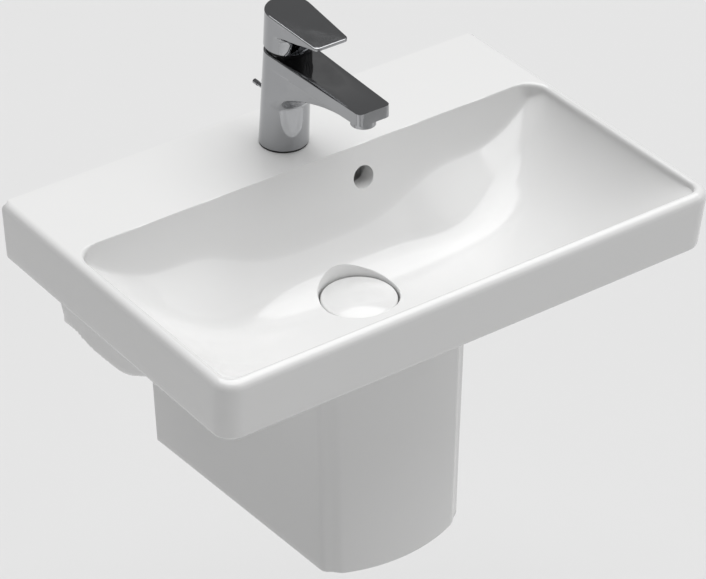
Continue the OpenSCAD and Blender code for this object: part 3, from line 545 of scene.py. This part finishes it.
# ---------------------------------------------------------------- drain cover
def make_cover():
    low, high = COVER[0][2], COVER[1][2]
    r = COVER_R
    crown = 3.9           # height of the dome above its edge
    edge = high - crown
    dome_r = (r * r + crown ** 2) / (2 * crown)
    profile = [(1e-3, low), (r - 6, low), (r - 2, low + 0.5)]
    for a in np.radians(np.linspace(-60, 75, 12)):
        profile.append((r - 2 + 2 * math.cos(a), edge - 1.4 + 2 * math.sin(a)))
    for u in np.linspace(r - 2.6, 0.5, 24):
        profile.append((u, high - dome_r + math.sqrt(dome_r ** 2 - u * u)))
    profile = [(u, min(z, high)) for u, z in profile]
    turn = np.linspace(0, 2 * math.pi, 128, endpoint=False)
    rings = [np.column_stack([u * np.cos(turn), u * np.sin(turn) - WASTE_Y, np.full(128, z)])
             for u, z in profile]
    return recalc(new_object("plug_cover_glazed", *loft(rings)))


# ---------------------------------------------------------------- tap
LEAN = math.radians(4.4)


def keyhole(r, half_front, reach, corner, count=240):
    """Plan outline: a half circle behind, sides running forward, a squared front with round corners."""
    corner = min(corner, half_front)
    points = []
    for a in np.radians(np.linspace(90, 0, 40)):
        points.append([r * math.cos(a), r * math.sin(a)])
    for a in np.radians(np.linspace(0, -90, 24)):
        points.append([half_front - corner + corner * math.cos(a), -reach + corner + corner * math.sin(a)])
    right = np.array(points)
    left = right[::-1] * [-1, 1]
    return resample(np.vstack([right, left[:-1]]), count)


def lean_shift(z):
    return -z * math.tan(LEAN)


def tap_ring(r, half_front, reach, corner, z, tilt=0.0, inset=0.0):
    """A slice of the tap body; reach is measured from the foot's centre line."""
    shift = lean_shift(z)
    outline = keyhole(r - inset, half_front - inset, max(reach + shift, r) - inset, max(corner - inset, 0.6))
    ring = np.column_stack([outline[:, 0], outline[:, 1] + shift, np.full(len(outline), z)])
    ring[:, 2] += tilt * np.clip(-ring[:, 1], 0, None)
    return ring + np.array([0, -TAP_Y, RIM])


def make_tap_body():
    foot_r, top_r = 24.3, 22.6
    height = 105.2
    reach = 146.7
    tip_half, tip_corner, tip_low = 18.0, 5.0, 91.4
    neck = 40.0           # where the spout starts to leave the column
    edge = 1.4            # rounding of the upper edge
    rings = []

    def radius(z):
        return foot_r + (top_r - foot_r) * z / height

    rings.append(tap_ring(foot_r - 0.8, foot_r - 0.8, 0, 30, 1.5))
    rings.append(tap_ring(foot_r, foot_r, 0, 30, 2.2))
    for z in np.linspace(6, neck, 9):
        rings.append(tap_ring(radius(z), radius(z), 0, 30, z))
    # the underside of the spout sweeps forward from the column to the tip
    for t in np.linspace(0, 1, 60)[1:]:
        grow = t ** 1.35
        z = neck + (tip_low - 0.4 - neck) * (math.sin(t * math.pi / 2) ** 0.78)
        r = radius(z)
        front = r + (reach - 1.0 - r) * grow
        ease = step(np.array(grow), 0.55)
        half = r + (tip_half - 1.2 - r) * (0.55 * ease + 0.45 * grow)
        corner = r + (6.0 - r) * ease
        rings.append(tap_ring(r, float(half), front, float(corner), z))
    for t in np.linspace(0, 1, 6):
        z = tip_low + t * (height - 2.6 - tip_low)
        rings.append(tap_ring(radius(z), tip_half, reach, tip_corner, z))
    top_tilt = -1.5 / reach
    for a in np.radians(np.linspace(0, 90, 6)):
        inset = edge * (1 - math.cos(a))
        z = height - edge + edge * math.sin(a)
        rings.append(tap_ring(radius(z), tip_half, reach, tip_corner, z, top_tilt * math.sin(a), inset))
    piece = recalc(new_object("tap_body_chrome", *loft(rings)))
    smooth_by_angle(piece, 38)
    aerator = centre("aerator_housing")
    lean_axis = np.array([0, -math.sin(LEAN), math.cos(LEAN)])
    foot = np.array([0, -TAP_Y, RIM])
    boolean(piece, cylinder("cut", 23.6, foot + lean_axis * 106, foot + lean_axis * 125, 160))
    boolean(piece, cylinder("cut", 18, foot + lean_axis * 66, foot + lean_axis * 110, 128))
    boolean(piece, cylinder("cut", 11.95, (0, aerator[1], RIM + 70), (0, aerator[1], RIM + tip_low), 128))
    knob = centre("lift_knob")
    boolean(piece, block("cut", -2.8, 2.8, -TAP_Y + 12, -TAP_Y + 30, knob[2] - 31.6, knob[2] + 3.5))
    # holes from below for the two supply tails, the stud and the lift rod
    for x, y, r, top in ((-9, 0, 5.05, 22), (9, 0, 5.05, 22), (0, -13.5, 3.05, 24), (0, 14, 2.6, 48)):
        boolean(piece, cylinder("cut", r, (x, -TAP_Y + y, RIM - 1), (x, -TAP_Y + y, RIM + top), 48))
    return piece


def make_lever():
    bottom, skirt_top, tip_low, top = 110.0, 126.0, 145.0, 148.0
    r = 23.0
    reach, tip, tip_corner = 69.4, 19.0, 5.0
    edge = 1.0            # rounding of the upper edge
    rings = []

    def ring(radius, half, front, corner, z, inset=0.0):
        outline = keyhole(radius - inset, half - inset, front - inset, max(corner - inset, 0.5))
        return np.column_stack([outline, np.full(len(outline), z)])

    rings.append(ring(r - 0.7, r - 0.7, r - 0.7, 30, bottom))
    rings.append(ring(r, r, r, 30, bottom + 0.8))
    for z in np.linspace(114, skirt_top, 5):
        rings.append(ring(r, r, r, 30, z))
    for t in np.linspace(0, 1, 44)[1:]:
        z = skirt_top + (tip_low - 0.4 - skirt_top) * t ** 0.62
        front = r + (reach - 0.8 - r) * t
        ease = float(step(np.array(t), 0.5))
        rings.append(ring(r, r + (tip - 0.8 - r) * (0.4 * ease + 0.6 * t), front, r + (5.5 - r) * ease, z))
    for t in np.linspace(0, 1, 3):
        rings.append(ring(r, tip, reach, tip_corner, tip_low + (top - edge - tip_low) * t))
    for a in np.radians(np.linspace(15, 90, 5)):
        inset = edge * (1 - math.cos(a))
        rings.append(ring(r, tip, reach, tip_corner, top - edge + edge * math.sin(a), inset))
    piece = recalc(new_object("lever_handle_chrome", *loft(rings)))
    smooth_by_angle(piece, 38)
    # hollow skirt, square socket for the stem, and the grub screw's hole with its counterbore
    boolean(piece, cylinder("cut", 20.3, (0, 0, 105), (0, 0, 128), 128))
    boolean(piece, block("cut", -4.05, 4.05, -3.55, 3.55, 127, 136.2))
    boolean(piece, cylinder("cut", 2.55, (0, 0, 132), (0, 30, 132), 48))
    boolean(piece, cylinder("cut", 3.6, (0, 20, 132), (0, 30, 132), 48))
    turn = Matrix.Translation(Vector((0, -TAP_Y * MM, RIM * MM))) @ Matrix.Rotation(LEAN, 4, "X")
    piece.data.transform(turn)
    return piece


# ---------------------------------------------------------------- materials
def shader(name, color, rough, metallic=0.0, coat=0.0, tint=(8.0, 0.02), rough_vary=(30.0, 0.03),
           bumps=((220.0, 0.02, 0.0002),), brushed=None, speckle=None):
    """Principled material in object coordinates: shifting tint, uneven roughness and layers of bump."""
    mat = bpy.data.materials.new(name)
    mat.use_nodes = True
    tree = mat.node_tree
    bsdf = tree.nodes["Principled BSDF"]
    bsdf.inputs["Metallic"].default_value = metallic
    bsdf.inputs["Coat Weight"].default_value = coat
    bsdf.inputs["Coat Roughness"].default_value = 0.03
    mat.diffuse_color = (*color, 1)
    coords = tree.nodes.new("ShaderNodeTexCoord")
    place = tree.nodes.new("ShaderNodeMapping")
    tree.links.new(coords.outputs["Object"], place.inputs["Vector"])

    def noise(scale, detail=3.0, squash=None):
        source = place
        if squash:
            source = tree.nodes.new("ShaderNodeMapping")
            source.inputs["Scale"].default_value = squash
            tree.links.new(coords.outputs["Object"], source.inputs["Vector"])
        node = tree.nodes.new("ShaderNodeTexNoise")
        node.inputs["Scale"].default_value = scale
        node.inputs["Detail"].default_value = detail
        tree.links.new(source.outputs["Vector"], node.inputs["Vector"])
        return node.outputs["Fac"]

    ramp = tree.nodes.new("ShaderNodeValToRGB")
    ramp.color_ramp.elements[0].position = 0.3
    ramp.color_ramp.elements[1].position = 0.7
    ramp.color_ramp.elements[0].color = (*[c * (1 - tint[1]) for c in color], 1)
    ramp.color_ramp.elements[1].color = (*[min(c * (1 + tint[1]), 1) for c in color], 1)
    tree.links.new(noise(tint[0]), ramp.inputs["Fac"])
    tone = ramp.outputs["Color"]
    if speckle:
        cells = tree.nodes.new("ShaderNodeTexVoronoi")
        cells.inputs["Scale"].default_value = speckle[0]
        tree.links.new(place.outputs["Vector"], cells.inputs["Vector"])
        dots = tree.nodes.new("ShaderNodeMapRange")
        dots.inputs["From Max"].default_value = speckle[1]
        dots.inputs["To Min"].default_value = speckle[2]
        dots.inputs["To Max"].default_value = 0
        tree.links.new(cells.outputs["Distance"], dots.inputs["Value"])
        mix = tree.nodes.new("ShaderNodeMix")
        mix.data_type = "RGBA"
        mix.inputs["B"].default_value = (*[c * 0.6 for c in color], 1)
        tree.links.new(dots.outputs["Result"], mix.inputs["Factor"])
        tree.links.new(tone, mix.inputs["A"])
        tone = mix.outputs["Result"]
    tree.links.new(tone, bsdf.inputs["Base Color"])

    spread = tree.nodes.new("ShaderNodeMapRange")
    spread.inputs["From Min"].default_value = 0.3
    spread.inputs["From Max"].default_value = 0.7
    spread.inputs["To Min"].default_value = max(rough - rough_vary[1], 0.01)
    spread.inputs["To Max"].default_value = rough + rough_vary[1]
    tree.links.new(noise(rough_vary[0], squash=brushed), spread.inputs["Value"])
    tree.links.new(spread.outputs["Result"], bsdf.inputs["Roughness"])

    normal = None
    for scale, strength, distance in bumps:
        bump = tree.nodes.new("ShaderNodeBump")
        bump.inputs["Strength"].default_value = strength
        bump.inputs["Distance"].default_value = distance
        tree.links.new(noise(scale, 2.0, brushed), bump.inputs["Height"])
        if normal:
            tree.links.new(normal, bump.inputs["Normal"])
        normal = bump.outputs["Normal"]
    tree.links.new(normal, bsdf.inputs["Normal"])
    return mat


finishes = {
    "ceramic": shader("glazed ceramic", (0.74, 0.74, 0.737), 0.13, coat=0.12, tint=(5.0, 0.008),
                      rough_vary=(14.0, 0.025), bumps=((26.0, 0.03, 0.0006), (160.0, 0.02, 0.0002)),
                      speckle=(300.0, 0.035, 0.10)),
    "ceramic_cover": shader("glazed ceramic cover", (0.73, 0.73, 0.727), 0.11, coat=0.15, tint=(9.0, 0.008),
                            rough_vary=(20.0, 0.02), bumps=((40.0, 0.025, 0.0005), (190.0, 0.02, 0.0002))),
    "chrome": shader("polished chrome", (0.36, 0.365, 0.375), 0.07, 1.0, tint=(14.0, 0.03),
                     rough_vary=(60.0, 0.02), bumps=((35.0, 0.012, 0.0003), (420.0, 0.01, 0.0001))),
    "brass": shader("machined brass", (0.62, 0.44, 0.19), 0.26, 1.0, tint=(25.0, 0.08),
                    rough_vary=(90.0, 0.07), bumps=((700.0, 0.06, 0.0002),), brushed=(1, 1, 9)),
    "steel": shader("stainless steel", (0.46, 0.46, 0.46), 0.24, 1.0, tint=(30.0, 0.05),
                    rough_vary=(120.0, 0.06), bumps=((600.0, 0.06, 0.0002),), brushed=(1, 1, 0.12)),
    "rubber": shader("black rubber", (0.016, 0.016, 0.017), 0.62, tint=(40.0, 0.25),
                     rough_vary=(120.0, 0.08), bumps=((900.0, 0.15, 0.0002),)),
    "black_plastic": shader("black plastic", (0.022, 0.022, 0.023), 0.42, tint=(35.0, 0.2),
                            rough_vary=(80.0, 0.06), bumps=((800.0, 0.08, 0.0002),)),
    "white_plastic": shader("white plastic", (0.78, 0.78, 0.76), 0.36, tint=(20.0, 0.02),
                            rough_vary=(70.0, 0.05), bumps=((500.0, 0.06, 0.0002),)),
    "cartridge_plastic": shader("cartridge plastic", (0.52, 0.54, 0.56), 0.4, tint=(30.0, 0.04),
                                rough_vary=(80.0, 0.05), bumps=((600.0, 0.06, 0.0002),)),
    "disc_ceramic": shader("lapped disc ceramic", (0.80, 0.78, 0.72), 0.2, tint=(50.0, 0.03),
                           rough_vary=(150.0, 0.04), bumps=((1200.0, 0.04, 0.0001),)),
}
slots = {part["node"]: part["material_slot"] for part in frame["record"]["subparts"]}
for name, node in nodes.items():
    node.data.materials.clear()
    node.data.materials.append(finishes[slots[name]])

# ---------------------------------------------------------------- pieces
pieces = [  # maker, CAD node, body, and the angle above which an edge stays sharp
    (make_basin, "basin", "fixture", 42),
    (make_pedestal, "half_pedestal", "fixture", 50),
    (make_tap_body, "tap_body", "fixture", None),
    (make_lever, "lever_handle", "lever", None),
    (make_cover, "plug_cover", "plug", None),
]
for make, node, body, sharp in pieces:
    piece = make()
    piece.data.materials.clear()
    piece.data.materials.append(finishes[slots[node]])
    if sharp:
        smooth_by_angle(piece, sharp)
    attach(piece, body)
    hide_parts(node)

# ---------------------------------------------------------------- floor, light and camera
floor_mesh = bpy.data.meshes.new("studio_floor")
FLOOR_HALF, FLOOR_Z = 9, -0.76    # metres
floor_corners = [(x * FLOOR_HALF, y * FLOOR_HALF, FLOOR_Z) for x, y in ((-1, -1), (1, -1), (1, 1), (-1, 1))]
floor_mesh.from_pydata(floor_corners, [], [(0, 1, 2, 3)])
floor = bpy.data.objects.new("studio_floor", floor_mesh)
bpy.context.scene.collection.objects.link(floor)
floor_mesh.materials.append(shader("studio floor", (0.64, 0.64, 0.64), 0.9, tint=(2.0, 0.004),
                                   rough_vary=(20.0, 0.03), bumps=((60.0, 0.02, 0.0002),)))

world = bpy.data.worlds.new("studio")
bpy.context.scene.world = world
world.use_nodes = True
world.node_tree.nodes["Background"].inputs["Color"].default_value = (1, 1, 1, 1)
world.node_tree.nodes["Background"].inputs["Strength"].default_value = 0.2


def sun(name, strength, angle, azimuth, elevation):
    """Soft light from a direction: azimuth 0 is straight in front of the basin, 90 on its right."""
    light = bpy.data.lights.new(name, "SUN")
    light.energy = strength
    light.angle = math.radians(angle)
    lamp = bpy.data.objects.new(name, light)
    bpy.context.scene.collection.objects.link(lamp)
    az, el = math.radians(azimuth), math.radians(elevation)
    source = Vector((math.sin(az) * math.cos(el), -math.cos(az) * math.cos(el), math.sin(el)))
    lamp.rotation_euler = source.to_track_quat("Z", "Y").to_euler()


sun("overhead", 3.0, 70, 120, 80)
sun("front_right", 0.42, 50, 40, 35)

camera_data = bpy.data.cameras.new("camera")
camera_data.lens = 171.98
camera_data.sensor_width = 36
camera = bpy.data.objects.new("camera", camera_data)
bpy.context.scene.collection.objects.link(camera)
camera.location = (-1.55247, -2.32923, 1.76039)
camera.rotation_euler = Vector((0.4860, 0.6745, -0.5557)).to_track_quat("-Z", "Y").to_euler()
bpy.context.scene.camera = camera
bpy.context.scene.view_settings.view_transform = "Standard"
